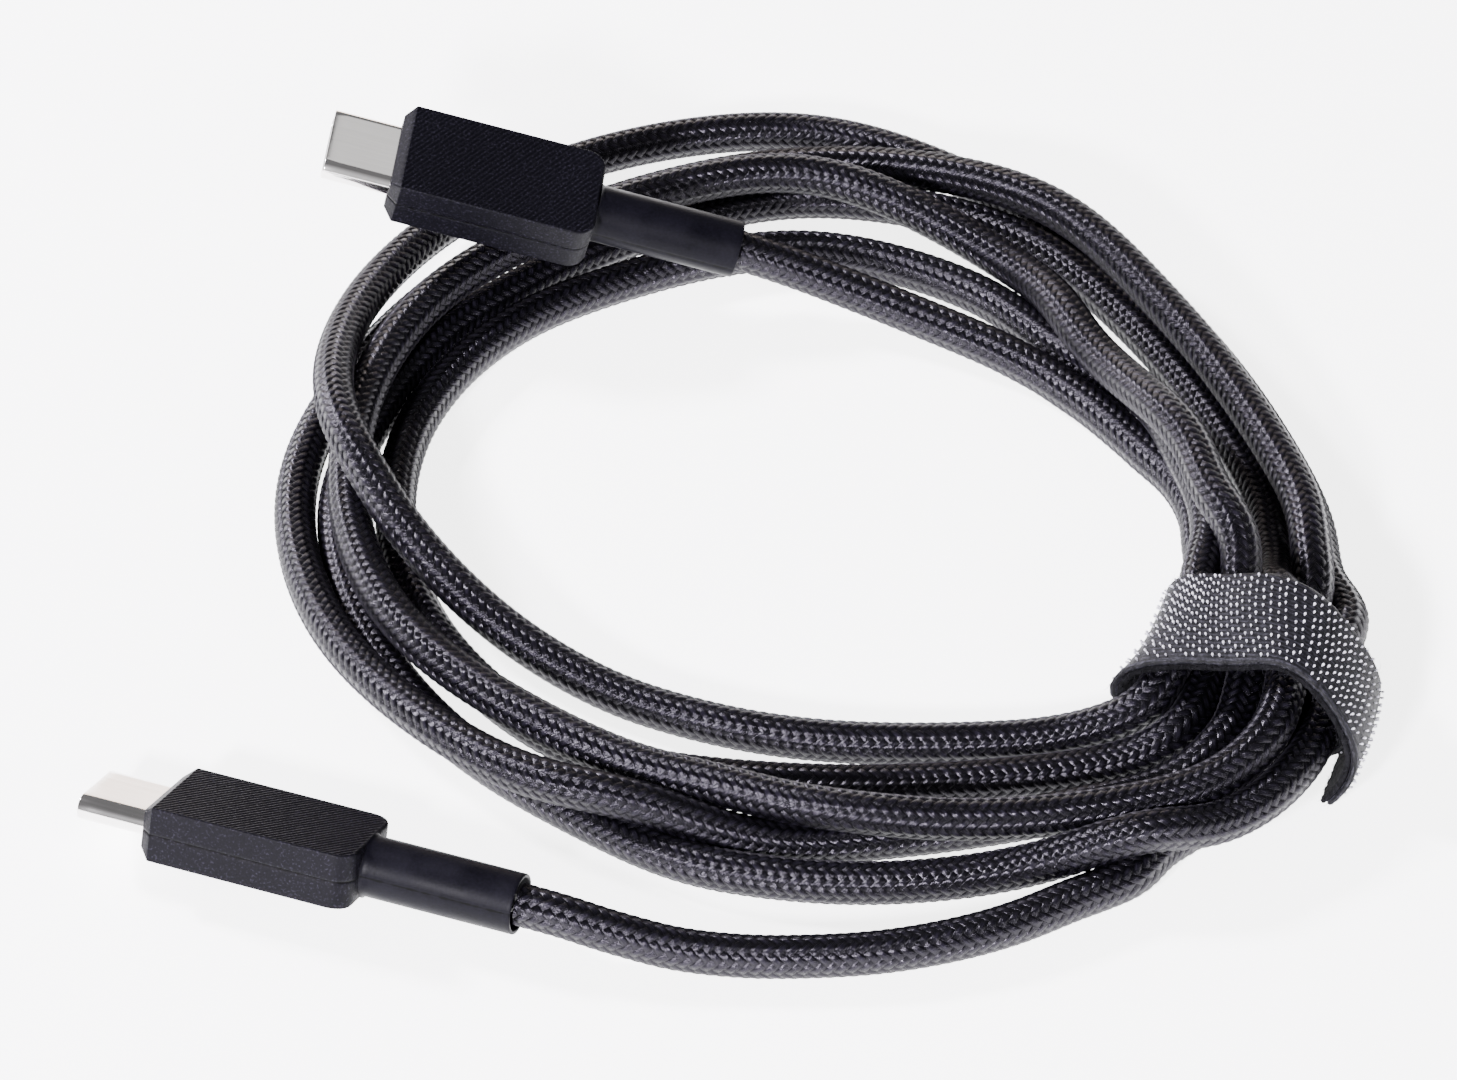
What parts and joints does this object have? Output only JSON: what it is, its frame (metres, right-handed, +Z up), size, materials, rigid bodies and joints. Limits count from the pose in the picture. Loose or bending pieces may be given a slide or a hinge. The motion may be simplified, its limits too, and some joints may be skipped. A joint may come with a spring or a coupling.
{
  "type": "braided charging cable",
  "caption": "Dark braided charging cable with a flat reversible plug at each end, wound by hand into a flat coil and held by a hook-and-loop tie.",
  "frame": {"origin": "on the surface the cable lies on, under the middle of the whole part's box", "axes": "+Z up from that surface, +X across the coil to the tie, +Y away from the side where plug 1 lies"},
  "size_m": [0.1208, 0.121, 0.0191],
  "materials": {
    "cable_braid": "charcoal braided yarn, slightly violet, each yarn satin",
    "tie_hooks": "dark woven ground set with rows of small pale moulded hooks",
    "tie_loops": "black brushed loop pile",
    "shell_steel": "drawn stainless steel, polished",
    "insulator_plastic": "moulded black insulator",
    "contact_gold": "gold-plated copper alloy",
    "spring_steel": "stamped stainless steel",
    "board_laminate": "green solder mask over glass laminate",
    "chip_epoxy": "black moulding compound",
    "capacitor_ceramic": "tan ceramic",
    "wire_insulation": "extruded insulation in several colours",
    "inner_plastic": "low-pressure moulding round the board",
    "housing_plastic": "near-black moulding, fine slanted ribs above and below, speckled satin sides",
    "boot_plastic": "near-black satin elastomer with a mould line"
  },
  "bodies": {
    "cable": {"coil": "cable_braid", "tail_1": "cable_braid", "tail_2": "cable_braid"},
    "plug_1": {"steel_shell_1": "shell_steel", "insulator_1": "insulator_plastic", "contacts_upper_1": "contact_gold", "contacts_lower_1": "contact_gold", "latch_plate_1": "spring_steel", "ground_springs_1": "spring_steel", "circuit_board_1": "board_laminate", "marker_chip_1": "chip_epoxy", "capacitors_1": "capacitor_ceramic", "shield_upper_1": "spring_steel", "shield_lower_1": "spring_steel", "wires_1": "wire_insulation", "cable_crimp_1": "spring_steel", "cable_end_1": "cable_braid", "inner_mould_1": "inner_plastic", "housing_1": "housing_plastic", "boot_1": "boot_plastic"},
    "plug_2": {"steel_shell_2": "shell_steel", "insulator_2": "insulator_plastic", "contacts_upper_2": "contact_gold", "contacts_lower_2": "contact_gold", "latch_plate_2": "spring_steel", "ground_springs_2": "spring_steel", "circuit_board_2": "board_laminate", "marker_chip_2": "chip_epoxy", "capacitors_2": "capacitor_ceramic", "shield_upper_2": "spring_steel", "shield_lower_2": "spring_steel", "wires_2": "wire_insulation", "cable_crimp_2": "spring_steel", "cable_end_2": "cable_braid", "inner_mould_2": "inner_plastic", "housing_2": "housing_plastic", "boot_2": "boot_plastic"},
    "tie": {"tie_hook_layer": "tie_hooks", "tie_loop_layer": "tie_loops"},
    "tie_end": {"tie_end_hooks": "tie_hooks", "tie_end_loops": "tie_loops"}
  },
  "joints": [
    {"name": "plug_1_bend", "type": "hinge", "parent": "cable", "child": "plug_1", "pos_m": [-0.0203, -0.0543, 0.0044], "axis": [0, 0, 1], "range_deg": [-8, 25], "stiffness_Nm_per_rad": 0.02},
    {"name": "plug_2_lift", "type": "hinge", "parent": "cable", "child": "plug_2", "pos_m": [-0.0009, 0.0336, 0.007], "axis": [0.0872, 0.9962, 0], "range_deg": [0, 25], "stiffness_Nm_per_rad": 0.02},
    {"name": "tie_slide", "type": "slide", "parent": "cable", "child": "tie", "axis": [0.309, 0.9511, 0], "range_m": [-0.001, 0.001]},
    {"name": "tie_end_peel", "type": "hinge", "parent": "tie", "child": "tie_end", "pos_m": [0.05784, -0.02635, 0.007], "axis": [-0.309, -0.9511, 0], "range_deg": [0, 100]}
  ]
}
